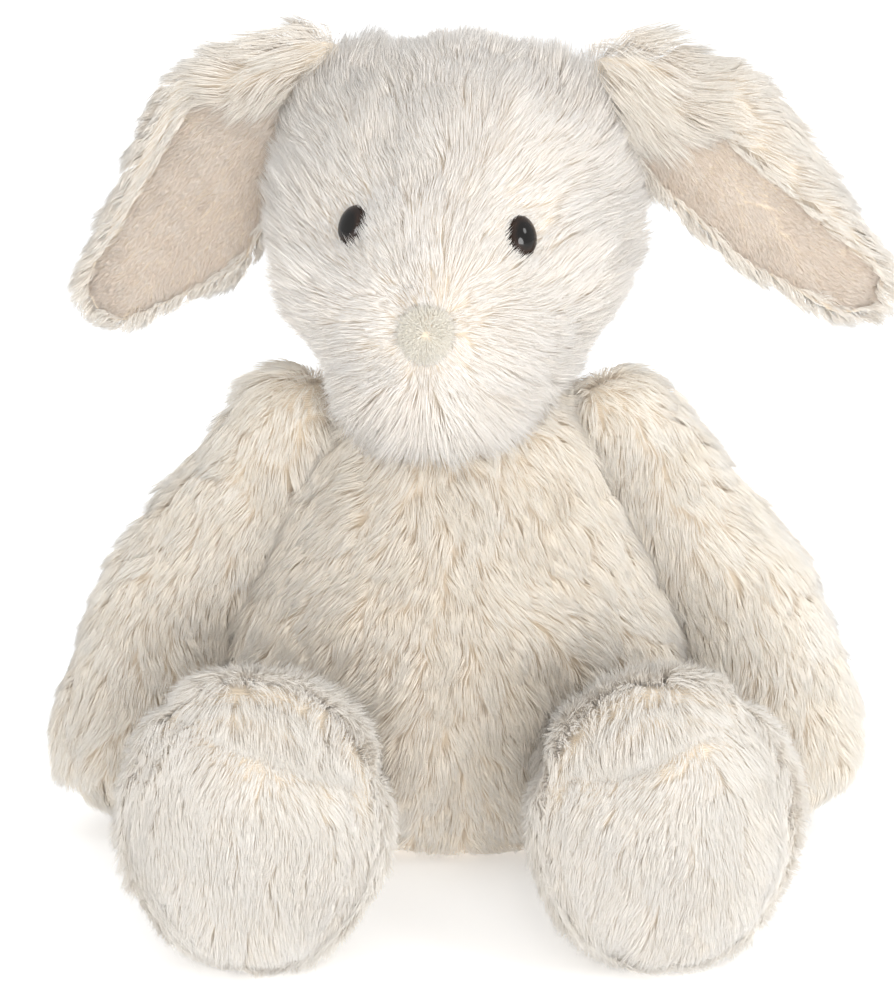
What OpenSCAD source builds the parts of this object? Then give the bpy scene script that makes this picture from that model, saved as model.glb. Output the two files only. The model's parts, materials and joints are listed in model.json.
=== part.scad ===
// Stuffed lop-eared bunny rabbit, sitting with its legs forward and facing -Y.
// The origin lies on the flat of the seat, under the middle of the neck. Left and right are
// the rabbit's own: its left side is +X.

/* [Plush] */
// Thickness of the plush, backing cloth and flattened pile together
plush = 3; // [2:0.25:4]
// Space between the plush and the filling behind it
fill_gap = 0.15; // [0.1:0.05:0.3]
// Running space between two stuffed parts
joint_gap = 0.45; // [0.35:0.05:0.6]

/* [Body] */
// Width of the belly
belly_w = 110; // [106:1:112]
// Depth of the belly
belly_d = 84; // [81:1:86]
// Height of the body up to the neck
body_h = 120; // [118:1:122]
// Height of the sewn-in seat panel
seat_h = 8; // [6:1:10]

/* [Head] */
// Width of the head across the cheeks
head_w = 82; // [80:1:84]
// Turn of the head to its own right
head_turn = 7; // [4:1:10]
// Sideways tilt of the head
head_tilt = 2.2; // [0:0.1:4]
// Diameter of the plastic eyes
eye_d = 9; // [8:0.5:10]
// Width of the nose patch
nose_w = 11; // [9:0.5:12]

/* [Ears] */
// Thickness of an ear, both panels together
ear_t = 11; // [9:0.5:11]
// How much higher the left ear stands than the right one
left_ear_lift = 14; // [6:1:16]
// How far the plush folds over the lining of the left ear, in degrees about its tip
left_ear_fold = 14; // [8:1:18]
// How far the plush folds over the lining of the right ear, in degrees about its tip
right_ear_fold = 6; // [3:1:9]
// How far the fold draws up the lower edge of the left ear
left_ear_tuck = 6; // [0:1:7]

/* [Limbs] */
// Radius of an arm at the shoulder
arm_root_r = 13.5; // [13:0.5:14.5]
// Radius of an arm at its elbow
elbow_r = 16; // [15:0.5:16.5]
// Radius of an arm at its paw
paw_r = 19; // [17:0.5:19.5]
// Radius of a leg at the hip
leg_root_r = 17; // [16:0.5:17.5]
// Width of a foot
foot_w = 58; // [54:1:60]
// Height of a foot
foot_h = 66; // [60:1:66]

/* [Hidden] */
$fn = 96;

// Places of the joints and of what they carry, on the left side
neck = [-1.5, 3, body_h];
neck_r = 16;
shoulder = [40, 2, body_h - 15];
elbow = [71, 2, 62];
paw = [82, 2, 27];
hip = [36, -23, 27];
foot = [47.5, -91, foot_h / 2 + 1];
leg_flare = 1;
arm_swing_gap = joint_gap + 0.15;

// Body: a belly and a chest, cut flat under the seat
belly_c = [0, 2, 44];
belly_r = [belly_w / 2, belly_d / 2, 50];
chest_c = [0, 3, 88];
chest_r = [belly_w * 0.355, belly_d * 0.38, body_h - 88];
pouch_c = [0, 8, 19];
pouch_r = [28, 20, 11];
tail_c = [0, belly_c[1] + belly_r[1] + 4, 25];
tail_r = [13, 11, 13];
label_size = [0.6, 19, 12];
label_z = 50;

// Head, from the neck joint: skull, face and muzzle
skull_c = [0, -7, 42];
skull_r = [head_w / 2, 37, 38];
face_c = [0, -18, 32];
face_r = [head_w / 2 - 3, 34, 32];
muzzle_c = [0, -32, 19];
muzzle_r = [25, 26, 26];
gusset_low = 5;
gusset_high = 11;
nose_z = 21;
nose_height = 1.2;
eye_x = 20.5;
eye_z = 43;
eye_stem_r = 1.3;
eye_stem_len = 11;
washer_r = 6;
washer_t = 1.2;
washer_depth = 6;

// Ears, from the neck joint before the head is turned, on the left side
ear_root = [36, 0, 71];
ear_root_r = 9;
ear_top = [63, 0, 60];
ear_top_r = 11;
ear_tip_out = [84, 0, 15];
ear_tip_in = [60, 0, 28];
ear_tip_r = 9;
tuck_way = [0.6, 0, 0.8];
lining_drop = 5;
lining_front = -ear_t / 4;

// Stitched rings where a stuffed part joins the body
thread_r = 0.9;
neck_ring_r = 12;
shoulder_ring_r = 10;
hip_ring_r = 7;
ring_set_back = 1.2;

// Hollows in the lap that the thighs press into when a leg is lifted
lap_c = [39, -44, 35];
lap_r = [29, 31, 35];

big = 400;

// ---- shared shapes ----

// The poles of the ball lie along Z, or along Y where it points forward
module ellipsoid(c, r, forward = false) {
    translate(c) scale(r) rotate([forward ? 90 : 0, 0, 0]) sphere(1);
}

// Turns local +Z along the line from p to q and starts at p
module along(p, q) {
    d = q - p;
    translate(p)
        rotate([0, acos(d[2] / norm(d)), atan2(d[1], d[0])])
            children();
}

function arc_points(r, z, from, to, n) =
    [for (i = [0:n]) let (a = from + (to - from) * i / n) [r * cos(a), z + r * sin(a)]];

// Outline of a stuffed limb: two round ends and the straight taper between them
function limb_outline(r0, r1, len) =
    let (taper = asin((r1 - r0) / len))
    concat(arc_points(r0, 0, -90, -taper, 8), arc_points(r1, len, -taper, 90, 12));

module limb(r0, r1, len) {
    rotate_extrude() polygon(limb_outline(r0, r1, len));
}

module mirrored(side) {
    if (side > 0) children();
    else mirror([1, 0, 0]) children();
}

// Half space on the side of a plane through the origin that points along an axis
module half(axis, at = 0) {
    translate([
        axis[0] == 0 ? -big / 2 : (axis[0] > 0 ? at : at - big),
        axis[1] == 0 ? -big / 2 : (axis[1] > 0 ? at : at - big),
        axis[2] == 0 ? -big / 2 : (axis[2] > 0 ? at : at - big)
    ]) cube(big);
}

// Ring of closing stitches round an X or Z axis
module stitch_ring(ring_r) {
    rotate_extrude() translate([ring_r, 0]) circle(thread_r, $fn = 24);
}

// How far a ring has to lie from a ball of radius r to stay clear of the limb that it ends
function ring_offset(r, ring_r) =
    sqrt(pow(r + thread_r + joint_gap, 2) - pow(ring_r, 2)) + ring_set_back;

module ring_groove(ring_r) {
    depth = thread_r + joint_gap;
    translate([0, 0, -depth]) cylinder(h = 2 * depth, r = ring_r + depth);
}

// ---- torso ----

module torso_form(inset = 0) {
    difference() {
        union() {
            ellipsoid(belly_c, belly_r - [inset, inset, inset]);
            ellipsoid(chest_c, chest_r - [inset, inset, inset]);
        }
        half([0, 0, -1], inset);
    }
}

module torso_pockets() {
    translate(neck) sphere(neck_r + joint_gap);
    translate(neck - [0, 0, ring_offset(neck_r, neck_ring_r)]) ring_groove(neck_ring_r);
    for (side = [1, -1]) mirrored(side) {
        translate(shoulder) sphere(arm_root_r + joint_gap);
        arm_hollow();
        shoulder_ring_place() ring_groove(shoulder_ring_r);
        translate(hip) sphere(leg_root_r + joint_gap);
        hip_ring_place() ring_groove(hip_ring_r);
        ellipsoid(lap_c, lap_r);
    }
}

// Dish in the flank that clears the upper arm as it swings forward and back: a cone round
// the swing axis, a gap inside the inner line of the arm
module arm_hollow() {
    reach = elbow - shoulder;
    dir = reach / norm(reach);
    inner = function(r, s) [s * dir[0] + r * dir[2], -s * dir[2] + r * dir[0]];
    from = inner(arm_root_r + arm_swing_gap, 0);
    to = inner(elbow_r + arm_swing_gap, norm(reach));
    translate(shoulder + [from[0], 0, 0]) rotate([0, 90, 0])
        cylinder(h = to[0] - from[0], r1 = from[1], r2 = to[1]);
}

module shoulder_ring_place() {
    translate(shoulder - [ring_offset(arm_root_r, shoulder_ring_r), 0, 0])
        rotate([0, 90, 0]) children();
}

module hip_ring_place() {
    translate(hip - [ring_offset(leg_root_r, hip_ring_r), 0, 0])
        rotate([0, 90, 0]) children();
}

module torso_skin() {
    difference() {
        torso_form();
        torso_form(plush);
        torso_pockets();
    }
}

module torso_panel(front, side) {
    intersection() {
        torso_skin();
        half([0, front, 0], belly_c[1]);
        half([side, 0, 0]);
        half([0, 0, 1], seat_h);
    }
}

module torso_front_left() { color("ivory") torso_panel(-1, 1); }
module torso_front_right() { color("ivory") torso_panel(-1, -1); }
module torso_back_left() { color("ivory") torso_panel(1, 1); }
module torso_back_right() { color("ivory") torso_panel(1, -1); }

module seat_panel() {
    color("ivory") difference() {
        torso_form();
        torso_form(plush);
        torso_pockets();
        half([0, 0, 1], seat_h);
    }
}

module torso_stuffing() {
    color("white") difference() {
        torso_form(plush + fill_gap);
        torso_pockets();
        ellipsoid(pouch_c, pouch_r + [fill_gap, fill_gap, fill_gap]);
    }
}

module pellet_pouch() {
    color("linen") difference() {
        ellipsoid(pouch_c, pouch_r);
        ellipsoid(pouch_c, pouch_r - [1, 1, 1]);
    }
}

module pellets() {
    inset = 1 + fill_gap;
    color("gainsboro") ellipsoid(pouch_c, pouch_r - [inset, inset, inset]);
}

module tail() {
    color("white") difference() {
        ellipsoid(tail_c, tail_r, forward = true);
        ellipsoid(belly_c, belly_r, forward = true);
    }
}

module care_label() {
    color("whitesmoke") difference() {
        translate([-label_size[0] / 2, belly_c[1] + belly_r[1] - 8, label_z]) cube(label_size);
        torso_form();
    }
}

module neck_stitching() {
    color("ivory") translate(neck - [0, 0, ring_offset(neck_r, neck_ring_r)])
        stitch_ring(neck_ring_r);
}

// ---- head ----

// Puts the head on the neck, turned and tilted
module head_place() {
    translate(neck) rotate([0, head_tilt, -head_turn]) children();
}

module head_form(inset = 0) {
    cut = [inset, inset, inset];
    ellipsoid(skull_c, skull_r - cut, forward = true);
    ellipsoid(face_c, face_r - cut, forward = true);
    ellipsoid(muzzle_c, muzzle_r - cut, forward = true);
    sphere(neck_r - inset);
}

// Opening in the side seam of the head that an ear is set into
module ear_slot(side) {
    mirrored(side) {
        translate([ear_root[0] - ear_root_r - joint_gap, -ear_t / 2 - joint_gap, 40])
            cube([big, ear_t + 2 * joint_gap, 40]);
    }
}

// Point where an eye sits on the face, and the way that it looks
eye_side = face_r[1] * sqrt(1 - pow(eye_x / face_r[0], 2) - pow((eye_z - face_c[2]) / face_r[2], 2));
eye_at = [eye_x, face_c[1] - eye_side, eye_z];
eye_look = [
    eye_x / pow(face_r[0], 2),
    -eye_side / pow(face_r[1], 2),
    (eye_z - face_c[2]) / pow(face_r[2], 2)
];

module eye_place(side) {
    mirrored(side) along(eye_at, eye_at + eye_look) children();
}

module head_skin() {
    difference() {
        head_form();
        head_form(plush);
        for (side = [1, -1]) {
            ear_slot(side);
            eye_place(side) cylinder(h = 30, r = eye_stem_r + 0.1, center = true);
        }
    }
}

// Strip that runs from the nose over the crown and down to the back of the neck
module gusset_space() {
    rotate([90, 0, 0]) linear_extrude(big, center = true) polygon([
        [-gusset_low, nose_z], [gusset_low, nose_z], [gusset_high, skull_c[2] + 20],
        [gusset_high, big / 2], [-gusset_high, big / 2], [-gusset_high, skull_c[2] + 20]
    ]);
}

// Region of one side panel of the head: beside the gusset, in front of the ears or behind them
module head_side_space(side, front) {
    intersection() {
        rotate([90, 0, 0]) linear_extrude(big, center = true) polygon([
            [0, -big / 2], [0, nose_z], [side * gusset_low, nose_z],
            [side * gusset_high, skull_c[2] + 20], [side * gusset_high, big / 2],
            [side * big / 2, big / 2], [side * big / 2, -big / 2]
        ]);
        half([0, front, 0]);
    }
}

module head_side(side, front) {
    color("white") head_place() intersection() {
        head_skin();
        head_side_space(side, front);
    }
}
module head_face_left() { head_side(1, -1); }
module head_face_right() { head_side(-1, -1); }
module head_back_left() { head_side(1, 1); }
module head_back_right() { head_side(-1, 1); }

module head_gusset() {
    color("white") head_place() intersection() {
        head_skin();
        gusset_space();
    }
}

module head_stuffing() {
    color("white") head_place() difference() {
        head_form(plush + fill_gap);
        for (side = [1, -1]) {
            ear_slot(side);
            eye_place(side) translate([0, 0, -14]) cylinder(h = 14, r = washer_r + 0.3);
        }
    }
}

module nose_patch() {
    color("gainsboro") head_place() intersection() {
        difference() {
            ellipsoid(muzzle_c, muzzle_r + nose_height * [1, 1, 1], forward = true);
            ellipsoid(muzzle_c, muzzle_r, forward = true);
            ellipsoid(face_c, face_r, forward = true);
        }
        translate([0, muzzle_c[1] - muzzle_r[1], nose_z]) rotate([90, 0, 0])
            cylinder(h = 12, r = nose_w / 2, center = true);
    }
}

module eye(side) {
    color("black") head_place() eye_place(side) {
        difference() {
            sphere(eye_d / 2);
            half([0, 0, -1], 0.2);
        }
        translate([0, 0, -eye_stem_len]) cylinder(h = eye_stem_len + 1, r = eye_stem_r);
    }
}
module eye_left() { eye(1); }
module eye_right() { eye(-1); }

module eye_washer(side) {
    color("silver") head_place() eye_place(side) translate([0, 0, -washer_depth]) difference() {
        cylinder(h = washer_t, r = washer_r);
        translate([0, 0, -1]) cylinder(h = 4, r = eye_stem_r + 0.05);
    }
}
module eye_washer_left() { eye_washer(1); }
module eye_washer_right() { eye_washer(-1); }

// ---- ears ----

// Centres and radii of the four discs that an ear is drawn round
function ear_discs(side) = [
    [ear_root, ear_root_r],
    [ear_top, ear_top_r],
    [ear_tip_out, ear_tip_r],
    [ear_tip_in + (side > 0 ? left_ear_tuck : 0) * tuck_way, ear_tip_r]
];

// Blade of an ear: narrow at its root, broad and blunt at its hanging end
module ear_form(side) {
    hull() for (disc = ear_discs(side))
        translate(disc[0]) scale([disc[1], ear_t / 2, disc[1]]) sphere(1, $fn = 32);
}

// Space of the lining: in front, and inside the fold, which narrows from root to tip
module lining_space(side) {
    fold = side > 0 ? left_ear_fold : right_ear_fold;
    intersection() {
        half([0, -1, 0], lining_front);
        translate(ear_tip_out - [0, 0, lining_drop]) rotate([90, -fold, 0])
            linear_extrude(big, center = true) hull() for (disc = ear_discs(side))
                translate([disc[0][0] - ear_tip_out[0], disc[0][2] - ear_tip_out[2]])
                    circle(disc[1], $fn = 32);
    }
}

module ear_place(side) {
    head_place() mirrored(side) {
        translate(ear_root) rotate([0, side > 0 ? -left_ear_lift : 0, 0])
            translate(-ear_root) children();
    }
}

module ear_back(side) {
    color("white") ear_place(side) difference() {
        ear_form(side);
        lining_space(side);
    }
}

module ear_lining(side) {
    color("antiquewhite") ear_place(side) intersection() {
        ear_form(side);
        lining_space(side);
    }
}
module ear_back_left() { ear_back(1); }
module ear_back_right() { ear_back(-1); }
module ear_lining_left() { ear_lining(1); }
module ear_lining_right() { ear_lining(-1); }

// ---- arms ----

// Left arm: it leaves the shoulder outward and hangs from the elbow down
module arm_form(inset = 0) {
    along(shoulder, elbow)
        limb(arm_root_r - inset, elbow_r - inset, norm(elbow - shoulder));
    along(elbow, paw)
        limb(elbow_r - inset, paw_r - inset, norm(paw - elbow));
}

module arm_panel(side, front) {
    color("ivory") mirrored(side) difference() {
        arm_form();
        arm_form(plush);
        half([0, -front, 0], shoulder[1]);
    }
}
module arm_front_left() { arm_panel(1, -1); }
module arm_front_right() { arm_panel(-1, -1); }
module arm_back_left() { arm_panel(1, 1); }
module arm_back_right() { arm_panel(-1, 1); }

module arm_stuffing(side) {
    color("white") mirrored(side) arm_form(plush + fill_gap);
}
module arm_stuffing_left() { arm_stuffing(1); }
module arm_stuffing_right() { arm_stuffing(-1); }

module shoulder_stitching(side) {
    color("ivory") mirrored(side) shoulder_ring_place() stitch_ring(shoulder_ring_r);
}
module shoulder_stitching_left() { shoulder_stitching(1); }
module shoulder_stitching_right() { shoulder_stitching(-1); }

// ---- legs ----

leg_len = norm(foot - hip);
foot_r = [foot_h / 2, foot_w / 2, 20];
sole_from = leg_len + 8;

module leg_form(inset = 0) {
    limb(leg_root_r - inset, leg_root_r + leg_flare - inset, leg_len - 10);
    ellipsoid([0, 0, leg_len], foot_r - [inset, inset, inset]);
}

module leg_skin(side) {
    mirrored(side) along(hip, foot) difference() {
        leg_form();
        leg_form(plush);
        children();
    }
}

module leg_panel(side, outer) {
    color("white") leg_skin(side) {
        union() {
            half([0, -outer, 0]);
            half([0, 0, 1], sole_from);
        }
    }
}
module leg_inner_left() { leg_panel(1, -1); }
module leg_inner_right() { leg_panel(-1, -1); }
module leg_outer_left() { leg_panel(1, 1); }
module leg_outer_right() { leg_panel(-1, 1); }

module sole(side) {
    color("white") leg_skin(side) half([0, 0, -1], sole_from);
}
module sole_left() { sole(1); }
module sole_right() { sole(-1); }

module leg_stuffing(side) {
    color("white") mirrored(side) along(hip, foot) leg_form(plush + fill_gap);
}
module leg_stuffing_left() { leg_stuffing(1); }
module leg_stuffing_right() { leg_stuffing(-1); }

module hip_stitching(side) {
    color("ivory") mirrored(side) hip_ring_place() stitch_ring(hip_ring_r);
}
module hip_stitching_left() { hip_stitching(1); }
module hip_stitching_right() { hip_stitching(-1); }

torso_front_left();
torso_front_right();
torso_back_left();
torso_back_right();
seat_panel();
torso_stuffing();
pellet_pouch();
pellets();
tail();
care_label();
neck_stitching();
head_face_left();
head_face_right();
head_back_left();
head_back_right();
head_gusset();
head_stuffing();
nose_patch();
eye_left();
eye_right();
eye_washer_left();
eye_washer_right();
ear_back_left();
ear_back_right();
ear_lining_left();
ear_lining_right();
shoulder_stitching_left();
shoulder_stitching_right();
arm_front_left();
arm_front_right();
arm_back_left();
arm_back_right();
arm_stuffing_left();
arm_stuffing_right();
hip_stitching_left();
hip_stitching_right();
leg_inner_left();
leg_inner_right();
leg_outer_left();
leg_outer_right();
sole_left();
sole_right();
leg_stuffing_left();
leg_stuffing_right();
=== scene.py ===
"""Looks of a stuffed lop-eared bunny rabbit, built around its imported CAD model.

Every sewn part gets a skin of backing cloth that is simulated as stuffed, and is then cut into
the same panels as the CAD model. Each panel carries its own pile, strand by strand, so that a
panel is one piece: its cloth with the fur that stands on it. Lengths are in metres.
"""

import json
import math

import bmesh
import bpy
import numpy as np
from mathutils import Matrix, Vector
from mathutils.bvhtree import BVHTree
from mathutils.kdtree import KDTree


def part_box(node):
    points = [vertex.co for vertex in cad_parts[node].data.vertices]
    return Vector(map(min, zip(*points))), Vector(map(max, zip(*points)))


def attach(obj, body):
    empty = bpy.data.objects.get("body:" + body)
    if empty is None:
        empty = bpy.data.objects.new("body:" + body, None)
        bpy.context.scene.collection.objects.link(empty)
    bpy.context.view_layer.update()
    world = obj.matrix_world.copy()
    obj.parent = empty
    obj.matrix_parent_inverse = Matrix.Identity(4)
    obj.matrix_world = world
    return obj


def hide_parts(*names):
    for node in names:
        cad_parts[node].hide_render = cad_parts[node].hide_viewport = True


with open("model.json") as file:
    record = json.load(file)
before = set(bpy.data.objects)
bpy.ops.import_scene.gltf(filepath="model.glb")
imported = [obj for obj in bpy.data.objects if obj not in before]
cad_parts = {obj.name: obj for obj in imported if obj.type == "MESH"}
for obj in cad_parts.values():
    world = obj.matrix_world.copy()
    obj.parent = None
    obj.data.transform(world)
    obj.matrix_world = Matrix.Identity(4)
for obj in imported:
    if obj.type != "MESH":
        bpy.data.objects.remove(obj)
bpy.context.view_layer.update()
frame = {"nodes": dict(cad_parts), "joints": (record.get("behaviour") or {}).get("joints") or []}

MM = 0.001
SIDES = {"left": 1, "right": -1}
UP = np.array([0.0, 0.0, 1.0])
FRONT = np.array([0.0, -1.0, 0.0])

# ---- places, all read from the frame ----


def joint_value(name, key):
    return np.array(next(j[key] for j in frame["joints"] if j["name"] == name), float)


def node_points(node):
    data = frame["nodes"][node].data
    found = np.empty(len(data.vertices) * 3, np.float32)
    data.vertices.foreach_get("co", found)
    return found.reshape(-1, 3).astype(float)


def box_centre(node):
    lo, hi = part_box(node)
    return np.array((lo + hi) / 2)


def unit(v):
    return v / np.maximum(np.linalg.norm(v, axis=-1, keepdims=True), 1e-12)


EYE_RADIUS = 4.5 * MM
HEAD_X = unit(-joint_value("head_nod", "axis"))
HEAD_Y = unit(-joint_value("ear_left_lift", "axis"))
HEAD_Z = np.cross(HEAD_X, HEAD_Y)
HEAD_CENTRE = box_centre("head_stuffing")
HIP = {s: joint_value(f"leg_{s}_lift", "pos_m") for s in SIDES}
EAR_ROOT = {s: joint_value(f"ear_{s}_lift", "pos_m") for s in SIDES}
EAR_TIP = {}
PAW = {}
FOOT = {}
EYE_AT = {}
EYE_LOOK = {}
for s in SIDES:
    ear = node_points(f"ear_back_{s}")
    reach = np.linalg.norm(ear - EAR_ROOT[s], axis=1)
    EAR_TIP[s] = ear[reach > 0.93 * reach.max()].mean(0)
    arm = node_points(f"arm_stuffing_{s}")
    PAW[s] = arm[arm[:, 2] < arm[:, 2].min() + 12 * MM].mean(0)
    FOOT[s] = box_centre(f"sole_{s}")
    washer = box_centre(f"eye_washer_{s}")
    eye = node_points(f"eye_{s}")
    tip = eye[np.argmax(np.linalg.norm(eye - washer, axis=1))]
    EYE_LOOK[s] = unit(tip - washer)
    EYE_AT[s] = tip - EYE_LOOK[s] * EYE_RADIUS
NOSE_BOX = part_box("nose_patch")
NOSE = np.array([*(NOSE_BOX[0] + NOSE_BOX[1]).xy / 2, (NOSE_BOX[0].z + NOSE_BOX[1].z) / 2])
NOSE[1] = NOSE_BOX[0].y

# ---- helpers ----


def smooth(x, a, b):
    t = np.clip((x - a) / (b - a), 0, 1)
    return t * t * (3 - 2 * t)


def waves(p, size, seed):
    """A soft noise field from -1 to 1: a few sine waves that run in random directions"""
    rng = np.random.default_rng(seed)
    total = np.zeros(len(p))
    for _ in range(7):
        k = unit(rng.normal(size=3)) * rng.uniform(0.6, 1.6) * 2 * math.pi / size
        total += np.sin(p @ k + rng.uniform(0, 2 * math.pi))
    return total / 3.2


def new_object(name, mesh):
    obj = bpy.data.objects.new(name, mesh)
    bpy.context.scene.collection.objects.link(obj)
    return obj


def mesh_arrays(mesh):
    """Corner points and triangles of a mesh"""
    mesh.calc_loop_triangles()
    co = np.empty(len(mesh.vertices) * 3, np.float32)
    mesh.vertices.foreach_get("co", co)
    tri = np.empty(len(mesh.loop_triangles) * 3, np.int32)
    mesh.loop_triangles.foreach_get("vertices", tri)
    return co.reshape(-1, 3).astype(float), tri.reshape(-1, 3)


def mesh_edges(mesh):
    found = np.empty(len(mesh.edges) * 2, np.int32)
    mesh.edges.foreach_get("vertices", found)
    return found.reshape(-1, 2)


def point_normals(co, tri):
    face = np.cross(co[tri[:, 1]] - co[tri[:, 0]], co[tri[:, 2]] - co[tri[:, 0]])
    total = np.zeros_like(co)
    for k in range(3):
        np.add.at(total, tri[:, k], face)
    return unit(total)


def triangle_areas(corner):
    across = np.cross(corner[:, 1] - corner[:, 0], corner[:, 2] - corner[:, 0])
    return np.linalg.norm(across, axis=1) / 2


def set_points(mesh, co):
    mesh.vertices.foreach_set("co", co.astype(np.float32).ravel())
    mesh.update()


def tree_of(co, tri):
    return BVHTree.FromPolygons(co.tolist(), tri.tolist())


def node_tree(node):
    return tree_of(*mesh_arrays(frame["nodes"][node].data))


def evaluated(obj):
    """The object's mesh with its modifiers applied"""
    dg = bpy.context.evaluated_depsgraph_get()
    return bpy.data.meshes.new_from_object(obj.evaluated_get(dg))


def with_modifier(mesh, kind, **values):
    obj = new_object("work", mesh)
    mod = obj.modifiers.new("work", kind)
    for key, value in values.items():
        setattr(mod, key, value)
    made = evaluated(obj)
    bpy.data.objects.remove(obj)
    return made


def spread(values, known, edges, rounds):
    """Fills unknown values from their neighbours along the edges"""
    a, b = edges.T
    count = np.bincount(edges.ravel(), minlength=len(values))
    out = np.where(known, values, values[known].mean())
    for _ in range(rounds):
        total = np.bincount(a, out[b], len(out)) + np.bincount(b, out[a], len(out))
        out = np.where(known, values, total / np.maximum(count, 1))
    return out


# ---- stuffed forms ----

VOXEL = 3.5 * MM
THIN_VOXEL = 2.5 * MM
# how deep under the hull a panel is looked for, and the drop past which the hull's points are evened
# out with their neighbours
BRIDGE = 16 * MM
TOUCHING = 0.2 * MM
FLOOR_GAP = 0.4 * MM


def gathered(nodes, hull):
    """The CAD nodes as one mesh, or the hull round them"""
    bm = bmesh.new()
    for n in nodes:
        bm.from_mesh(frame["nodes"][n].data)
    if hull:
        made = bmesh.ops.convex_hull(bm, input=bm.verts)
        drop = set(made["geom_interior"]) | set(made["geom_unused"])
        bmesh.ops.delete(bm, geom=[g for g in drop if isinstance(g, bmesh.types.BMVert)])
        loose = [v for v in bm.verts if not v.link_faces]
        bmesh.ops.delete(bm, geom=loose)
    mesh = bpy.data.meshes.new("form")
    bm.to_mesh(mesh)
    bm.free()
    return mesh


def remeshed(mesh, voxel):
    """Its outer surface, even quads all over"""
    made = with_modifier(mesh, "REMESH", mode="VOXEL", voxel_size=voxel)
    bm = bmesh.new()
    bm.from_mesh(made)
    todo = set(bm.verts)
    islands = []
    while todo:
        island = [todo.pop()]
        for v in island:
            for e in v.link_edges:
                w = e.other_vert(v)
                if w in todo:
                    todo.remove(w)
                    island.append(w)
        islands.append(island)
    keep = max(islands, key=len)
    bmesh.ops.delete(bm, geom=list(set(bm.verts) - set(keep)))
    bm.to_mesh(made)
    bm.free()
    return made


def shrunk(mesh, nodes):
    """Draws a hull in to the panels under it, and bridges the openings where other parts sit"""
    trees = [node_tree(n) for n in nodes]
    co, tri = mesh_arrays(mesh)
    normal = point_normals(co, tri)
    depth = np.full(len(co), np.nan)
    for i, (p, n) in enumerate(zip(co, normal, strict=True)):
        start = Vector(p + n * MM)
        for tree in trees:
            hit, facing, _, far = tree.ray_cast(start, Vector(-n), BRIDGE)
            if hit is not None and facing.dot(Vector(n)) > 0.25:
                depth[i] = far - MM if math.isnan(depth[i]) else min(depth[i], far - MM)
    known = ~np.isnan(depth)
    depth = spread(np.nan_to_num(depth), known, mesh_edges(mesh), 80)
    depth = spread(depth, depth < TOUCHING, mesh_edges(mesh), 2)
    set_points(mesh, co - normal * depth[:, None])
    return mesh


class Part:
    """A sewn part: the CAD panels that it is cut into, and the skin round them"""

    def __init__(self, name, body, panels, fill=(), voxel=VOXEL, bridged=False):
        self.name, self.body, self.panels = name, body, list(panels)
        self.trees = [node_tree(n) for n in panels]
        mesh = remeshed(gathered([*panels, *fill], bridged), voxel)
        self.skin = shrunk(mesh, panels) if bridged else mesh
        self.label = None

    def nearest_panel(self, points):
        far = np.empty((len(self.trees), len(points)))
        for k, tree in enumerate(self.trees):
            far[k] = [tree.find_nearest(Vector(p))[3] or 1.0 for p in points]
        return far.argmin(0)

    def seam(self):
        """1 on the corner points that lie on a seam between two panels"""
        co, _ = mesh_arrays(self.skin)
        owner = self.nearest_panel(co)
        a, b = mesh_edges(self.skin).T
        on = np.zeros(len(co))
        on[a[owner[a] != owner[b]]] = 1
        on[b[owner[a] != owner[b]]] = 1
        return on

    def finish(self):
        """Subdivides the skin once and settles which panel each triangle belongs to"""
        self.skin = with_modifier(self.skin, "SUBSURF", levels=1, render_levels=1)
        self.read()
        self.label = self.nearest_panel(self.co[self.tri].mean(1))

    def read(self):
        self.co, self.tri = mesh_arrays(self.skin)
        self.normal = point_normals(self.co, self.tri)

    def shape(self, move):
        """Moves the skin's points by what move(points, normals) gives"""
        self.co = self.co + move(self.co, self.normal)
        self.co[:, 2] = np.maximum(self.co[:, 2], FLOOR_GAP)
        set_points(self.skin, self.co)
        self.read()


def pair(stem):
    return [f"{stem}_left", f"{stem}_right"]


def make_parts():
    made = {}
    made["torso"] = Part(
        "torso",
        "torso",
        [*pair("torso_front"), *pair("torso_back"), "seat_panel"],
        bridged=True,
    )
    made["tail"] = Part("tail", "torso", ["tail"], voxel=THIN_VOXEL)
    head_panels = [*pair("head_face"), *pair("head_back"), "head_gusset"]
    made["head"] = Part("head", "head", head_panels, bridged=True)
    for s in SIDES:
        blade = [f"ear_back_{s}", f"ear_lining_{s}"]
        made[f"ear_{s}"] = Part(f"ear_{s}", f"ear_{s}", blade, voxel=THIN_VOXEL)
        arm = [f"arm_front_{s}", f"arm_back_{s}"]
        made[f"arm_{s}"] = Part(f"arm_{s}", f"arm_{s}", arm, [f"arm_stuffing_{s}"])
        leg = [f"leg_inner_{s}", f"leg_outer_{s}", f"sole_{s}"]
        made[f"leg_{s}"] = Part(f"leg_{s}", f"leg_{s}", leg, [f"leg_stuffing_{s}"])
    return made


SIM_FRAMES = 20
PRESSURE = 4
MOST_MOVED = 2.2 * MM


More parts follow.
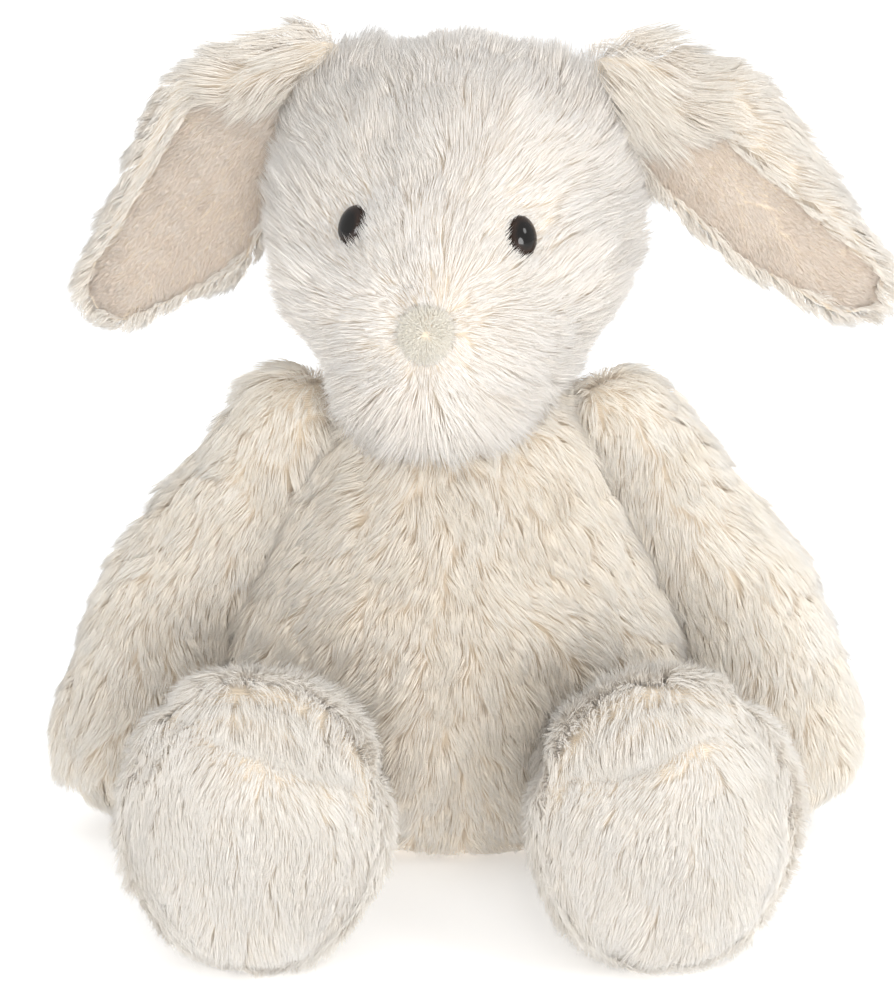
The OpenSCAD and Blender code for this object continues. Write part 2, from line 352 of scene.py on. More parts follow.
def stuff(parts):
    """Blows the skins up against their sewn seams, as filling does, and keeps the result"""
    scene = bpy.context.scene
    running = []
    for part in parts.values():
        obj = new_object(part.name, part.skin)
        held = obj.vertex_groups.new(name="seam")
        for i in np.flatnonzero(part.seam()):
            held.add([int(i)], 1.0, "REPLACE")
        cloth = obj.modifiers.new("stuffing", "CLOTH")
        cloth.settings.quality = 5
        cloth.settings.vertex_group_mass = "seam"
        cloth.settings.use_pressure = True
        cloth.settings.uniform_pressure_force = PRESSURE
        cloth.settings.tension_stiffness = 20
        cloth.settings.compression_stiffness = 20
        cloth.settings.bending_stiffness = 0.4
        cloth.settings.effector_weights.gravity = 0
        running.append((part, obj))
    for f in range(1, SIM_FRAMES + 1):
        scene.frame_set(f)
    for part, obj in running:
        rest, _ = mesh_arrays(part.skin)
        moved, _ = mesh_arrays(evaluated(obj))
        step = moved - rest
        far = np.linalg.norm(step, axis=1, keepdims=True)
        step *= np.minimum(1, MOST_MOVED / np.maximum(far, 1e-9))
        obj.modifiers.clear()
        set_points(part.skin, rest + step)
        bpy.data.objects.remove(obj)
    scene.frame_set(1)


# ---- sculpting of single places on the skins ----


def dent(centre, radius, depth, direction):
    """A soft push of depth along direction, fading out at radius from centre"""

    def move(co, _):
        fall = np.exp(-((np.linalg.norm(co - centre, axis=1) / radius) ** 2) * 2)
        return fall[:, None] * depth * direction

    return move


SEAM_DEPTH = 1.0 * MM
SEAM_WIDTH = 3.0 * MM


def sewn_in(part, depth, width):
    """Draws the skin in along its seams"""
    a, b = mesh_edges(part.skin).T
    owner = part.nearest_panel(part.co)
    on = np.flatnonzero(np.bincount(a, owner[a] != owner[b], len(part.co)) > 0)
    tree = KDTree(len(on))
    for i in on:
        tree.insert(Vector(part.co[i]), int(i))
    tree.balance()
    far = np.array([tree.find(Vector(p))[2] for p in part.co])
    return lambda co, normal: -normal * (depth * np.exp(-((far / width) ** 2)))[:, None]


def shape_head(head):
    for s in SIDES:
        head.shape(dent(EYE_AT[s], 13 * MM, 2.2 * MM, -EYE_LOOK[s]))
        cheek = NOSE + HEAD_X * SIDES[s] * 17 * MM + HEAD_Y * 8 * MM - HEAD_Z * 4 * MM
        head.shape(dent(cheek, 16 * MM, 1.8 * MM, unit(HEAD_X * SIDES[s] - HEAD_Y)))
    bridge = NOSE + HEAD_Z * 22 * MM + HEAD_Y * 6 * MM
    head.shape(dent(bridge, 12 * MM, 1.5 * MM, -HEAD_Y))


CREASE_UP = 23 * MM
CREASE_SLOPE = 0.35
CREASE_DEPTH = 3.0 * MM


def bump_at(x, centre, width):
    return np.exp(-(((x - centre) / width) ** 2))


def above_crease(p, side):
    """Height over the crease at the top of a sole, which runs down towards the other foot"""
    inward = (FOOT[side][0] - p[:, 0]) * SIDES[side]
    return p[:, 2] - FOOT[side][2] - CREASE_UP + CREASE_SLOPE * inward


def shape_leg(leg, side):
    """Presses a crease across the top of the sole, where the foot's top plush folds over it"""

    def move(co, normal):
        front = smooth(-normal[:, 1], 0.3, 0.8)
        pressed = front * CREASE_DEPTH * bump_at(above_crease(co, side), 0, 4 * MM)
        return FRONT * -pressed[:, None]

    leg.shape(move)


EAR_HOLLOW = 3.2 * MM
EAR_CURL = 2.0 * MM


def shape_ear(ear, side):
    """Hollows the lining side, so that the rim stands round it, and curls the blade a little"""
    root, tip = EAR_ROOT[side], EAR_TIP[side]
    lining = ear.panels.index(f"ear_lining_{side}")
    tree = ear.trees[lining]

    def move(co, normal):
        near = np.array([tree.find_nearest(Vector(p))[3] for p in co])
        inside = smooth(-near, -4.5 * MM, -0.5 * MM) * smooth(normal @ -HEAD_Y, 0.2, 0.8)
        along = np.clip((co - root) @ (tip - root) / np.sum((tip - root) ** 2), 0, 1)
        curl = np.sin(along * math.pi) * EAR_CURL
        return HEAD_Y * (inside * EAR_HOLLOW - curl)[:, None]

    ear.shape(move)


# ---- pile ----


class Pile:
    """How the fur of one panel grows: length and width in mm, strands to the square mm, the
    angles at which it leaves the cloth and ends, how much it tufts, and how unruly it is"""

    def __init__(
        self, look, slot, length, rise=44, lie=12, dense=3.6, width=0.22, tuft=0.38, wild=1.0
    ):
        self.look, self.slot = look, slot
        self.length, self.width = length * MM, width * MM
        self.dense, self.rise, self.lie = dense, rise, lie
        self.tuft, self.wild = tuft, wild


PILES = {
    "torso_front": Pile("torso", "body_plush", 9.5, dense=4.6, width=0.19),
    "torso_back": Pile("torso", "body_plush", 9.5, dense=3.2),
    "seat": Pile("torso", "body_plush", 6, dense=2.2),
    "arm_front": Pile("arm", "body_plush", 9.5, dense=4.6, width=0.19, wild=1.1),
    "arm_back": Pile("arm", "body_plush", 9.5, dense=3.2, wild=1.1),
    "head": Pile("head", "head_plush", 9.5, 50, 16, dense=4.7, width=0.17, tuft=0.22, wild=0.65),
    "ear_back": Pile("ear_back", "head_plush", 8.5, dense=4.2, width=0.18, tuft=0.38, wild=0.9),
    "ear_lining": Pile("ear", "ear_velour", 3.2, 36, 10, dense=9, width=0.19, tuft=0.15, wild=0.45),
    "sole": Pile("foot", "foot_plush", 7.5, 46, 14, dense=8, width=0.16, tuft=0.2, wild=0.55),
    "leg": Pile("foot", "foot_plush", 8.5, dense=4.6, width=0.18, tuft=0.28, wild=0.7),
    "tail": Pile("head", "head_plush", 12, rise=60, lie=35),
}


def pile_of(panel):
    return next(pile for stem, pile in PILES.items() if panel.startswith(stem))


def comb_torso(p, n):
    away = np.tanh(p[:, :1] / (14 * MM))
    return np.hstack([0.55 * away, 0 * away, -np.ones_like(away)])


def comb_head(p, n):
    centre = NOSE + HEAD_Y * 12 * MM
    away = unit(p - centre)
    behind = smooth((p - HEAD_CENTRE) @ HEAD_Y, -5 * MM, 25 * MM)[:, None]
    return away - UP * 0.8 * behind


def comb_ear(side):
    root, tip = EAR_ROOT[side], EAR_TIP[side]
    axis = unit(tip - root)

    def comb(p, n):
        off = p - root
        off = off - (off @ axis)[:, None] * axis
        return axis + off / (30 * MM)

    return comb


def comb_arm(side):
    target = PAW[side] - UP * 30 * MM
    return lambda p, n: unit(target - p)


def comb_leg(side):
    axis = unit(FOOT[side] - HIP[side])

    def comb(p, n):
        face = smooth(-n[:, 1], 0.25, 0.8)[:, None]
        return (axis - UP * 0.25) * (1 - face) - UP * face

    return comb


def comb_tail(p, n):
    return unit(p - HEAD_CENTRE * [1, 0, 0]) - UP * 0.8


COMB = {"torso": comb_torso, "head": comb_head, "tail": comb_tail}
for s in SIDES:
    COMB[f"ear_{s}"] = comb_ear(s)
    COMB[f"arm_{s}"] = comb_arm(s)
    COMB[f"leg_{s}"] = comb_leg(s)


def pile_lengths(part, p, base):
    """The pile's length at each root: shorn round the nose and the eyes, longer on the cheeks and
    at the roots of the ears, and combed over a crease at the top of the soles"""
    length = base * (1 + 0.16 * waves(p, 26 * MM, 11))
    if part.name == "head":
        from_nose = np.linalg.norm(p - NOSE, axis=1)
        length *= 0.42 + 0.58 * smooth(from_nose, 6 * MM, 20 * MM)
        for s in SIDES:
            from_eye = np.linalg.norm(p - EYE_AT[s], axis=1)
            length *= 0.50 + 0.50 * smooth(from_eye, 4 * MM, 13 * MM)
        side = np.abs((p - HEAD_CENTRE) @ HEAD_X)
        length *= 1 + 0.25 * smooth(side, 18 * MM, 38 * MM)
        below_nose = (NOSE - p) @ UP
        length *= 1 + 0.75 * smooth(below_nose, 8 * MM, 20 * MM)
    if part.name == "head" or part.name.startswith("ear"):
        for s in SIDES:
            from_root = np.linalg.norm(p - EAR_ROOT[s], axis=1)
            length *= 1 + 0.85 * (1 - smooth(from_root, 8 * MM, 30 * MM))
    if part.name.startswith("leg"):
        above = above_crease(p, part.name[4:])
        length *= 1 + 0.35 * bump_at(above, 5 * MM, 4 * MM) - 0.55 * bump_at(above, -3 * MM, 3 * MM)
    return length


def turned(v, axis, angle):
    """v turned about axis, row by row"""
    c, s = np.cos(angle)[:, None], np.sin(angle)[:, None]
    along = np.sum(v * axis, axis=1, keepdims=True) * axis
    return along + (v - along) * c + np.cross(axis, v) * s


def clumps(p, spacing, dense, rng):
    """Picks random centres among the roots, one to each square of that spacing, and gives each
    root its nearest"""
    count = max(2, int(len(p) / (dense * (spacing / MM) ** 2)))
    pick = rng.choice(len(p), min(count, len(p)), replace=False)
    tree = KDTree(len(pick))
    for k, i in enumerate(pick):
        tree.insert(Vector(p[i]), k)
    tree.balance()
    owner = np.array([tree.find(Vector(q))[1] for q in p])
    return pick, owner


# the fur's mean slant, how far ahead other parts are looked for, and how the fur grows where
# another part lies on it
SLANT = (0.74, 0.67)
FAR_AHEAD = 50 * MM
ROOT_DEPTH = 0.3 * MM
BURIED = -12 * MM
COVERED_LENGTH = 0.7
BIG_TUFT = 5.0 * MM
SMALL_TUFT = 1.9 * MM


def room_around(part, others):
    """How far each point of a skin can grow fur before it meets another part, below 0 inside one"""
    comb = COMB[part.name](part.co, part.normal)
    comb = unit(comb - np.sum(comb * part.normal, axis=1, keepdims=True) * part.normal)
    way = part.normal * SLANT[0] + comb * SLANT[1]
    room = np.full(len(part.co), FAR_AHEAD)
    for i, (p, d) in enumerate(zip(part.co + part.normal * ROOT_DEPTH, way, strict=True)):
        start, ahead = Vector(p), Vector(d)
        for tree in others:
            hit, facing, _, far = tree.ray_cast(start, ahead, FAR_AHEAD)
            if hit is not None:
                room[i] = min(room[i], -far if facing.dot(ahead) > 0 else far)
    return room


def strands(part, others, share, rng):
    """Roots, middles and tips of the fur on a part, with each strand's panel, width and tone"""
    piles = [pile_of(n) for n in part.panels]
    corner = part.co[part.tri]
    area = triangle_areas(corner)
    dense = np.array([q.dense for q in piles])[part.label] * share / MM**2
    if part.name == "head":
        close = np.linalg.norm(corner.mean(1) - NOSE, axis=1)
        dense = dense * (1 + 0.6 * (1 - smooth(close, 8 * MM, 25 * MM)))
    weight = area * dense
    count = int(weight.sum())
    pick = rng.choice(len(area), count, p=weight / weight.sum())
    u = rng.random((count, 2))
    flip = u.sum(1) > 1
    u[flip] = 1 - u[flip]
    bary = np.column_stack([1 - u.sum(1), u])
    root = np.einsum("nk,nkc->nc", bary, corner[pick])
    normal = unit(np.einsum("nk,nkc->nc", bary, part.normal[part.tri[pick]]))
    label = part.label[pick]

    def value(key):
        return np.array([getattr(q, key) for q in piles])[label]

    length = pile_lengths(part, root, value("length")) * rng.uniform(0.8, 1.12, count)
    comb = COMB[part.name](root, normal)
    comb = unit(comb - np.sum(comb * normal, axis=1, keepdims=True) * normal)
    mean_dense = count / area.sum() * MM**2
    wild = value("wild")
    big, of_big = clumps(root, BIG_TUFT, mean_dense, rng)
    small, of_small = clumps(root, SMALL_TUFT, mean_dense, rng)
    swing = 0.34 * waves(root, 34 * MM, 5) + wild * rng.normal(0, 0.17, len(big))[of_big]
    swing += wild * rng.normal(0, 0.10, len(small))[of_small] + rng.normal(0, 0.08, count)
    comb = turned(comb, normal, swing)
    lift = wild * rng.normal(0, 0.09, len(big))[of_big] + rng.normal(0, 0.09, count)
    rise = np.radians(value("rise")) + lift
    lie = np.radians(value("lie")) + lift
    low = normal * np.sin(rise)[:, None] + comb * np.cos(rise)[:, None]
    high = normal * np.sin(lie)[:, None] + comb * np.cos(lie)[:, None]
    room = np.einsum("nk,nk->n", bary, room_around(part, others)[part.tri[pick]])
    keep = room > BURIED
    covered = room < ROOT_DEPTH
    least = 0.45 + 0.35 * (part.name == "head" or part.name.startswith("ear"))
    length = np.minimum(length, np.maximum(room, least * length))
    length[covered] *= COVERED_LENGTH

    middle = root + low * (length * 0.45)[:, None]
    tip = middle + high * (length * 0.55)[:, None]
    for owner, centre, pull in ((of_big, big, 0.5), (of_small, small, 0.45)):
        pull = pull * value("tuft") / 0.5 * rng.uniform(0.6, 1.2, count)
        near = centre[owner]
        tip += (tip[near] - tip) * (pull * 0.9)[:, None]
        middle += (middle[near] - middle) * (pull * 0.35)[:, None]
    middle[:, 2] = np.maximum(middle[:, 2], FLOOR_GAP)
    tip[:, 2] = np.maximum(tip[:, 2], FLOOR_GAP)
    tone = 0.50 * rng.random(len(big))[of_big] + 0.30 * rng.random(len(small))[of_small]
    tone += 0.20 * rng.random(count)
    root = root - normal * ROOT_DEPTH
    width = value("width") * rng.uniform(0.75, 1.15, count)
    found = {
        "root": root,
        "middle": middle,
        "tip": tip,
        "out": normal,
        "label": label,
        "width": width,
        "tone": tone,
    }
    return {k: v[keep] for k, v in found.items()}


# a strand is two three-sided cones, base to base; its root is point 0 and its tip point 4
SPINDLE = np.array([[0, 2, 1], [0, 3, 2], [0, 1, 3], [4, 1, 2], [4, 2, 3], [4, 3, 1]])
SPINDLE_U = np.array([0.5, 0.15, 0.5, 0.85, 0.5])
SPINDLE_V = np.array([0.08, 0.45, 0.45, 0.45, 0.92])
SPINDLE_ALONG = np.array([0, 0.42, 0.42, 0.42, 1])
# the share of the bake's map that the cloth takes, and how far the strands' normals lean out
CLOTH_U = 0.2
SOFT_SHADE = 0.12
CLOTH_THICK = 1.2 * MM


def spindle_points(s):
    """Five points for each strand: its root, a triangle where it is widest, and its tip"""
    axis = unit(s["tip"] - s["root"])
    side = unit(np.cross(axis, axis[:, [1, 2, 0]] + 0.3))
    across = np.cross(axis, side)
    points, facing = [s["root"]], [s["out"]]
    for k in range(3):
        a = 2 * math.pi * k / 3
        away = side * math.cos(a) + across * math.sin(a)
        points.append(s["middle"] + away * (s["width"] * 0.5)[:, None])
        facing.append(unit(away * (1 - SOFT_SHADE) + s["out"] * SOFT_SHADE))
    points.append(s["tip"])
    facing.append(unit(axis * (1 - SOFT_SHADE) + s["out"] * SOFT_SHADE))
    return np.stack(points, axis=1), np.stack(facing, axis=1)


def panel_mesh(name, cloth_co, cloth_tri, s):
    """One mesh of a panel's cloth and its strands, with the bake's own map and the pile's tones"""
    spindles, facing = spindle_points(s)
    count, n_cloth = len(spindles), len(cloth_co)
    shift = n_cloth + 5 * np.arange(count)[:, None]
    loops = np.concatenate([cloth_tri.ravel(), (SPINDLE.ravel()[None] + shift).ravel()])
    points = np.vstack([cloth_co, spindles.reshape(-1, 3)])
    n_tri = len(loops) // 3
    mesh = bpy.data.meshes.new(name)
    mesh.vertices.add(len(points))
    mesh.vertices.foreach_set("co", points.astype(np.float32).ravel())
    mesh.loops.add(len(loops))
    mesh.loops.foreach_set("vertex_index", loops.astype(np.int32))
    mesh.polygons.add(n_tri)
    mesh.polygons.foreach_set("loop_start", 3 * np.arange(n_tri, dtype=np.int32))
    slots = np.ones(n_tri, np.int32)
    slots[: len(cloth_tri)] = 0
    mesh.polygons.foreach_set("material_index", slots)
    mesh.update(calc_edges=True)
    mesh.shade_smooth()
    along = np.concatenate([np.zeros(n_cloth), np.tile(SPINDLE_ALONG, count)])
    tone = np.concatenate([np.full(n_cloth, 0.4), np.repeat(s["tone"], 5)])
    for key, values in (("along", along), ("tone", tone)):
        layer = mesh.attributes.new(key, "FLOAT", "POINT")
        layer.data.foreach_set("value", values.astype(np.float32))
    rows = max(1, math.ceil(math.sqrt(count)))
    cell = 1 / rows
    place = np.arange(count)
    cell_u = (1 - CLOTH_U) * cell * (place // rows)[:, None] + CLOTH_U
    cell_v = cell * (place % rows)[:, None]
    spindle_u = cell_u + (1 - CLOTH_U) * cell * SPINDLE_U[None]
    spindle_v = cell_v + cell * SPINDLE_V[None]
    out = cloth_co - cloth_co.mean(0)
    turn = np.arctan2(out[:, 0], -out[:, 1]) / (2 * math.pi) + 0.5
    height = np.arcsin(np.clip(unit(out)[:, 2], -1, 1)) / math.pi + 0.5
    point_u = np.concatenate([turn * CLOTH_U * 0.96, spindle_u.ravel()])
    point_v = np.concatenate([height, spindle_v.ravel()])
    layer = mesh.uv_layers.new(name="OFBake")
    uv = np.column_stack([point_u[loops], point_v[loops]])
    layer.data.foreach_set("uv", uv.astype(np.float32).ravel())
    normals = np.vstack([point_normals(cloth_co, cloth_tri), facing.reshape(-1, 3)])
    mesh.normals_split_custom_set_from_vertices(normals.astype(np.float32))
    return mesh


def cloth_patch(part, k):
    """The panel's own cloth, with its thickness, cut out of the part's skin"""
    tri = part.tri[part.label == k]
    used, inverse = np.unique(tri.ravel(), return_inverse=True)
    mesh = bpy.data.meshes.new("patch")
    mesh.from_pydata(part.co[used].tolist(), [], inverse.reshape(-1, 3).tolist())
    kind = {"thickness": CLOTH_THICK, "offset": -1, "use_even_offset": False}
    return mesh_arrays(with_modifier(mesh, "SOLIDIFY", **kind))


# ---- materials ----


class Graph:
    """A material's node tree, with short calls to add and join its nodes"""

    def __init__(self, name):
        self.material = bpy.data.materials.new(name)
        self.material.use_nodes = True
        self.tree = self.material.node_tree
        self.shader = next(n for n in self.tree.nodes if n.type == "BSDF_PRINCIPLED")

    def node(self, kind, **values):
        made = self.tree.nodes.new("ShaderNode" + kind)
        for key, value in values.items():
            if hasattr(made, key):
                setattr(made, key, value)
            else:
                made.inputs[key.replace("_", " ")].default_value = value
        return made

    def join(self, a, b):
        self.tree.links.new(a, b)

    def plain(self, **values):
        for key, value in values.items():
            self.shader.inputs[key.replace("_", " ")].default_value = value
        return self

    def noise(self, scale, detail=4, roughness=0.6):
        place = self.node("TexCoord")
        made = self.node("TexNoise", Scale=scale, Detail=detail, Roughness=roughness)
        self.join(place.outputs["Object"], made.inputs["Vector"])
        return made.outputs["Fac"]

    def attribute(self, name):
        return self.node("Attribute", attribute_name=name).outputs["Fac"]

    def ramp(self, factor, *stops):
        made = self.node("ValToRGB")
        elements = made.color_ramp.elements
        for k, (at, colour) in enumerate(stops):
            element = elements[k] if k < 2 else elements.new(at)
            element.position = at
            element.color = (*colour, 1)
        self.join(factor, made.inputs["Fac"])
        return made.outputs["Color"]

    def mix(self, kind, factor, a, b):
        made = self.node("Mix", data_type="RGBA", blend_type=kind)
        if isinstance(factor, float):
            made.inputs["Factor"].default_value = factor
        else:
            self.join(factor, made.inputs["Factor"])
        self.join(a, made.inputs["A"])
        self.join(b, made.inputs["B"])
        return made.outputs["Result"]

    def span(self, value, low, high):
        made = self.node("MapRange")
        self.join(value, made.inputs["Value"])
        made.inputs["To Min"].default_value = low
        made.inputs["To Max"].default_value = high
        return made.outputs["Result"]

    def colour(self, output):
        self.join(output, self.shader.inputs["Base Color"])

    def rough(self, value, low, high):
        self.join(self.span(value, low, high), self.shader.inputs["Roughness"])

    def bump(self, height, strength, distance):
        made = self.node("Bump", Strength=strength, Distance=distance)
        self.join(height, made.inputs["Height"])
        self.join(made.outputs["Normal"], self.shader.inputs["Normal"])


def pile_material(name, root, middle, tip, warm):
    """Fur: darker and warmer down at the root as painted shade in the pile, paler at the tip, uneven
    from tuft to tuft
    """
    g = Graph(name)
    # the darker, warmer root colour is painted shade deep in the pile
    length = g.ramp(g.attribute("along"), (0, root), (1, tip), (0.4, middle))
    tone = g.ramp(g.attribute("tone"), (0.15, (1, 1, 1)), (0.9, warm))
    patches = g.ramp(g.noise(28), (0.3, (1, 1, 1)), (0.75, warm))
    g.colour(g.mix("MULTIPLY", 0.5, g.mix("MULTIPLY", 0.8, length, tone), patches))
    g.rough(g.noise(900), 0.52, 0.78)
    g.plain(Sheen_Weight=0.5, Sheen_Roughness=0.5, Specular_IOR_Level=0.15)
    g.plain(Subsurface_Weight=0.1, Subsurface_Radius=(1.0, 0.95, 0.85), Subsurface_Scale=0.001)
    return g.material


def backing_material():
    """Knitted backing cloth under the pile, in a darker warm beige that is painted shade in the
    partings
    """
    g = Graph("backing_cloth")
    place = g.node("TexCoord")
    knit = g.node("TexWave", wave_type="BANDS", bands_direction="Z", Scale=700, Distortion=2.5)
    g.join(place.outputs["Object"], knit.inputs["Vector"])
    # darker warm beige: painted shade where the cloth shows in the partings
    g.colour(g.ramp(g.noise(120), (0.3, (0.84, 0.72, 0.56)), (0.8, (0.90, 0.80, 0.67))))
    g.rough(g.noise(400), 0.8, 0.95)
    g.bump(knit.outputs["Fac"], 0.4, 0.0003)
    g.plain(Sheen_Weight=0.3, Sheen_Roughness=0.6, Specular_IOR_Level=0.2)
    return g.material


def eye_material():
    """Moulded eye: a dark brown rim round a black pupil, polished"""
    g = Graph("eye_plastic_look")
    swirl = g.noise(260, 3)
    edge = g.attribute("edge")
    brown = g.ramp(swirl, (0.35, (0.012, 0.006, 0.004)), (0.7, (0.024, 0.012, 0.007)))
    black = g.ramp(swirl, (0.35, (0.003, 0.002, 0.002)), (0.7, (0.005, 0.004, 0.003)))
    mask = g.ramp(edge, (0.52, (0, 0, 0)), (0.72, (1, 1, 1)))
    g.colour(g.mix("MIX", mask, black, brown))
    g.rough(g.noise(600), 0.05, 0.12)
    g.bump(g.noise(1500, 2), 0.03, 0.0001)
    g.plain(Coat_Weight=0.15, Coat_Roughness=0.03, Specular_IOR_Level=0.28)
    return g.material


def soft_material(name, low, high, scale, rough=(0.75, 0.95), bump=0.5, sheen=0.3):
    """Plain filling, pouch cloth, pellets, washers, label satin or thread"""
    g = Graph(name)
    g.colour(g.ramp(g.noise(scale), (0.3, low), (0.75, high)))
    g.rough(g.noise(scale * 3), *rough)
    g.bump(g.noise(scale * 5, 6), bump, 0.0004)
    g.plain(Sheen_Weight=sheen, Sheen_Roughness=0.5)
    return g.material


# each look gives the root colour (darker and warmer: painted shade in the pile), the middle, the
# tip, and the warm tone of some tufts
PILE_LOOK = {
    # torso and arms share one plush; the torso's copy is a little darker and warmer, painted shade
    # of the belly
    "torso": pile_material(
        "torso_pile", (0.86, 0.70, 0.51), (0.92, 0.86, 0.77), (0.94, 0.90, 0.83), (0.98, 0.95, 0.90)
    ),
    "arm": pile_material(
        "arm_pile", (0.87, 0.72, 0.55), (0.93, 0.88, 0.80), (0.95, 0.92, 0.86), (0.98, 0.95, 0.90)
    ),
    "head": pile_material(
        "head_pile", (0.90, 0.82, 0.72), (0.93, 0.89, 0.84), (0.95, 0.92, 0.88), (0.98, 0.96, 0.93)
    ),
    # the ears' backs are the head's plush; this copy is darker, painted shade
    "ear_back": pile_material(
        "ear_back_pile",
        (0.82, 0.73, 0.62),
        (0.86, 0.81, 0.74),
        (0.89, 0.86, 0.80),
        (0.98, 0.95, 0.91),
    ),
    # darker and greyer than the other cream fur: painted shade against the stronger light on the
    # feet
    "foot": pile_material(
        "foot_pile", (0.84, 0.75, 0.64), (0.87, 0.83, 0.77), (0.90, 0.87, 0.82), (0.98, 0.96, 0.93)
    ),
    "ear": pile_material(
        "ear_pile", (0.65, 0.54, 0.44), (0.73, 0.64, 0.55), (0.78, 0.70, 0.62), (0.96, 0.91, 0.86)
    ),
    "nose": pile_material(
        "nose_pile", (0.70, 0.64, 0.55), (0.76, 0.72, 0.64), (0.80, 0.77, 0.70), (0.95, 0.93, 0.88)
    ),
}
BACKING = backing_material()

# ---- pieces ----


def plush_pieces(part, others, share, seed):
    """Each of the part's panels as one piece: its cloth and the pile on it"""
    grown = strands(part, others, share, np.random.default_rng(seed))
    for k, panel in enumerate(part.panels):
        pile = pile_of(panel)
        mine = {key: v[grown["label"] == k] for key, v in grown.items()}
        cloth_co, cloth_tri = cloth_patch(part, k)
        obj = new_object(f"{panel}_plush", panel_mesh(panel, cloth_co, cloth_tri, mine))
        obj.data.materials.append(BACKING)
        obj.data.materials.append(PILE_LOOK[pile.look])
        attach(obj, part.body)
        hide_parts(panel)


NOSE_STRANDS = 6000


def nose_piece(share):
    """The nose: a small domed patch of short felted pile"""
    node = frame["nodes"]["nose_patch"]
    mesh = with_modifier(node.data.copy(), "REMESH", mode="VOXEL", voxel_size=0.7 * MM)
    co, tri = mesh_arrays(mesh)
    normal = point_normals(co, tri)
    corner = co[tri]
    rng = np.random.default_rng(77)
    area = triangle_areas(corner)
    count = int(NOSE_STRANDS * share)
    pick = rng.choice(len(area), count, p=area / area.sum())
    bary = rng.dirichlet([1, 1, 1], count)
    root = np.einsum("nk,nkc->nc", bary, corner[pick])
    out = unit(np.einsum("nk,nkc->nc", bary, normal[tri[pick]]))
    away = unit(root - NOSE + 1e-6)
    way = unit(out * 1.0 + away * 0.8 - UP * 0.25 + rng.normal(0, 0.3, root.shape))
    reach = rng.uniform(0.5, 1.2, (count, 1)) * MM
    middle = root + way * reach
    tip = middle + unit(way + away * 0.7 + rng.normal(0, 0.35, root.shape)) * reach * 1.3
    s = {
        "root": root - out * 0.2 * MM,
        "middle": middle,
        "tip": tip,
        "out": out,
        "width": rng.uniform(0.16, 0.26, count) * MM,
        "tone": rng.random(count),
    }
    obj = new_object("nose_patch_felt", panel_mesh("nose_felt", co, tri, s))
    obj.data.materials.append(BACKING)
    obj.data.materials.append(PILE_LOOK["nose"])
    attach(obj, "head")
    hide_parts("nose_patch")


# the dome's height to its radius, how deep the eye sits in the pile, and its oval outline
EYE_DOME = 0.72
EYE_SUNK = 1.4 * MM
EYE_OVAL = (0.86, 1.16, 1.0)
EYE_TURNS = 48


def eye_piece(side, material):
    """A moulded plastic eye: an oval dome with a rolled rim, on its stem"""
    radius = EYE_RADIUS
    look = Vector(EYE_LOOK[side])
    profile = [(0.0, EYE_DOME)]
    profile += [(math.sin(a), math.cos(a) * EYE_DOME) for a in np.radians(np.arange(7, 84, 7))]
    profile += [(1.0, 0.06), (1.03, 0.0), (1.0, -0.07), (0.9, -0.1), (0.30, -0.1)]
    profile += [(0.29, -1.0), (0.27, -2.4), (0.0, -2.45)]
    bm = bmesh.new()
    rings = []
    for r, z in profile:
        if r == 0:
            rings.append([bm.verts.new((0, 0, z * radius))])
            continue
        ring = []
        for k in range(EYE_TURNS):
            a = 2 * math.pi * k / EYE_TURNS
            place = (r * radius * math.cos(a), r * radius * math.sin(a), z * radius)
            ring.append(bm.verts.new(place))
        rings.append(ring)
    for a, b in zip(rings, rings[1:]):
        for k in range(EYE_TURNS):
            quad = [a[k % len(a)], b[k % len(b)], b[(k + 1) % len(b)], a[(k + 1) % len(a)]]
            bm.faces.new(list(dict.fromkeys(quad)))
    bmesh.ops.recalc_face_normals(bm, faces=bm.faces)
    mesh = bpy.data.meshes.new(f"eye_{side}")
    bm.to_mesh(mesh)
    bm.free()
    mesh.shade_smooth()
    points, _ = mesh_arrays(mesh)
    from_middle = np.hypot(points[:, 0], points[:, 1]) / radius
    edge = mesh.attributes.new("edge", "FLOAT", "POINT")
    edge.data.foreach_set("value", from_middle.astype(np.float32))
    mesh.transform(Matrix.Diagonal((*EYE_OVAL, 1.0)))
    mesh.transform(look.to_track_quat("Z", "Y").to_matrix().to_4x4())
    mesh.transform(Matrix.Translation(Vector(EYE_AT[side] - EYE_LOOK[side] * EYE_SUNK)))
    obj = new_object(f"eye_{side}_moulded", mesh)
    mesh.materials.append(material)
    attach(obj, "head")
    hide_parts(f"eye_{side}")


def dress_inside():
    """Materials of the CAD nodes that stay: the filling, the pouch, the rings and the label"""
    looks = {
        "stuffing": soft_material("fibre_fill_look", (0.86, 0.86, 0.85), (0.96, 0.96, 0.95), 90),
        "pouch": soft_material("pouch_cloth_look", (0.76, 0.73, 0.66), (0.86, 0.83, 0.77), 300),
        "pellets": soft_material(
            "pellet_look", (0.70, 0.73, 0.77), (0.84, 0.87, 0.90), 500, (0.3, 0.5), 0.8, 0.0
        ),
        "washer": soft_material(
            "washer_look", (0.80, 0.80, 0.80), (0.88, 0.88, 0.88), 300, (0.35, 0.5), 0.1, 0.0
        ),
        "stitching": soft_material("thread_look", (0.80, 0.75, 0.66), (0.90, 0.86, 0.78), 800),
        "label": soft_material(
            "label_look", (0.88, 0.88, 0.87), (0.95, 0.95, 0.94), 900, (0.3, 0.5), 0.2, 0.5
        ),
    }
    for name, node in frame["nodes"].items():
        for stem, look in looks.items():
            if stem in name:
                node.data.materials.clear()
                node.data.materials.append(look)


# ---- stage ----


def make_floor():
    g = Graph("floor")
    g.colour(g.ramp(g.noise(3), (0.3, (0.94, 0.94, 0.94)), (0.7, (0.96, 0.96, 0.96))))
    g.plain(Roughness=0.9, Specular_IOR_Level=0.1)
    g.plain(Emission_Color=(1, 1, 1, 1), Emission_Strength=0.3)
    bpy.ops.mesh.primitive_plane_add(size=30)
    floor = bpy.context.object
    floor.name = "floor"
    floor.data.materials.append(g.material)


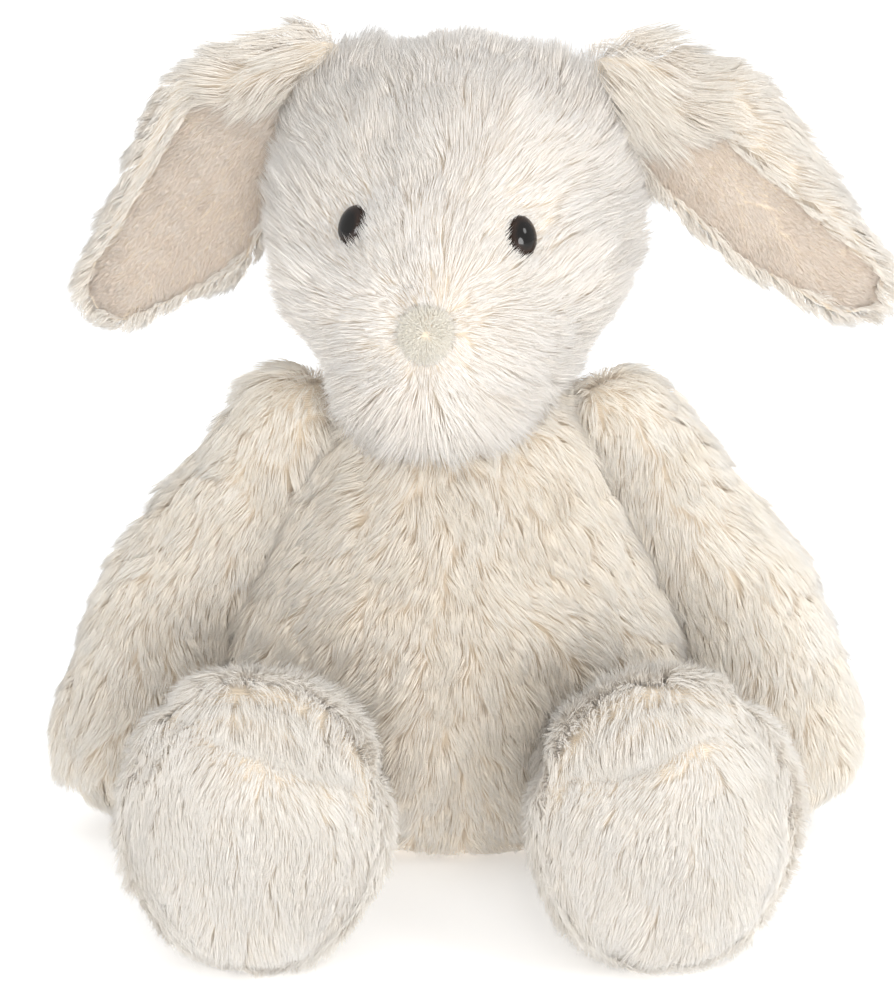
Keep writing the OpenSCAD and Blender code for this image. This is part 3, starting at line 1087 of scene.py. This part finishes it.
def area_light(name, place, size, power, at=(0, 0, 0.09)):
    lamp = bpy.data.lights.new(name, "AREA")
    lamp.shape = "DISK"
    lamp.size = size
    lamp.energy = power
    obj = bpy.data.objects.new(name, lamp)
    obj.location = place
    obj.rotation_mode = "QUATERNION"
    obj.rotation_quaternion = (Vector(at) - Vector(place)).to_track_quat("-Z", "Y")
    bpy.context.scene.collection.objects.link(obj)


def make_light():
    world = bpy.data.worlds.new("studio")
    world.use_nodes = True
    back = world.node_tree.nodes["Background"]
    back.inputs["Color"].default_value = (1, 1, 1, 1)
    back.inputs["Strength"].default_value = 1.0
    bpy.context.scene.world = world
    area_light("front", (0.3, -1.9, 0.22), 1.1, 28)
    area_light("key", (1.0, -0.9, 1.2), 0.5, 4.5)


def make_camera():
    """Stands where the toy is seen a little from above, with a long lens"""
    aim = Vector((-0.0028, 0, 0.0857))
    distance, elevation = 0.978, math.radians(15)
    back = Vector((0, -math.cos(elevation), math.sin(elevation)))
    data = bpy.data.cameras.new("camera")
    data.lens = 140
    data.sensor_width = 36
    data.clip_start, data.clip_end = 0.05, 100
    camera = bpy.data.objects.new("camera", data)
    camera.location = aim + back * distance
    camera.rotation_mode = "QUATERNION"
    camera.rotation_quaternion = (-back).to_track_quat("-Z", "Y")
    bpy.context.scene.collection.objects.link(camera)
    bpy.context.scene.camera = camera


# ---- the object ----

parts = make_parts()
stuff(parts)
for part in parts.values():
    part.finish()
    if len(part.panels) > 1 and not part.name.startswith("ear"):
        part.shape(sewn_in(part, SEAM_DEPTH, SEAM_WIDTH))
shape_head(parts["head"])
for s in SIDES:
    shape_ear(parts[f"ear_{s}"], s)
    shape_leg(parts[f"leg_{s}"], s)
trees = {name: tree_of(part.co, part.tri) for name, part in parts.items()}
near = {
    "torso": ["head", "arm_left", "arm_right", "leg_left", "leg_right", "tail"],
    "head": ["torso", "ear_left", "ear_right"],
    "tail": ["torso"],
}
for s in SIDES:
    near[f"ear_{s}"] = ["head"]
    near[f"arm_{s}"] = ["torso", f"leg_{s}"]
    near[f"leg_{s}"] = ["torso", f"arm_{s}"]
STRAND_SHARE = 1.0
for seed, (name, part) in enumerate(parts.items()):
    plush_pieces(part, [trees[n] for n in near[name]], STRAND_SHARE, 100 + seed)
nose_piece(STRAND_SHARE)
eye_look = eye_material()
for s in SIDES:
    eye_piece(s, eye_look)
dress_inside()
make_floor()
make_light()
make_camera()
bpy.context.scene.view_settings.view_transform = "Standard"
bpy.context.scene.cycles.diffuse_bounces = 8
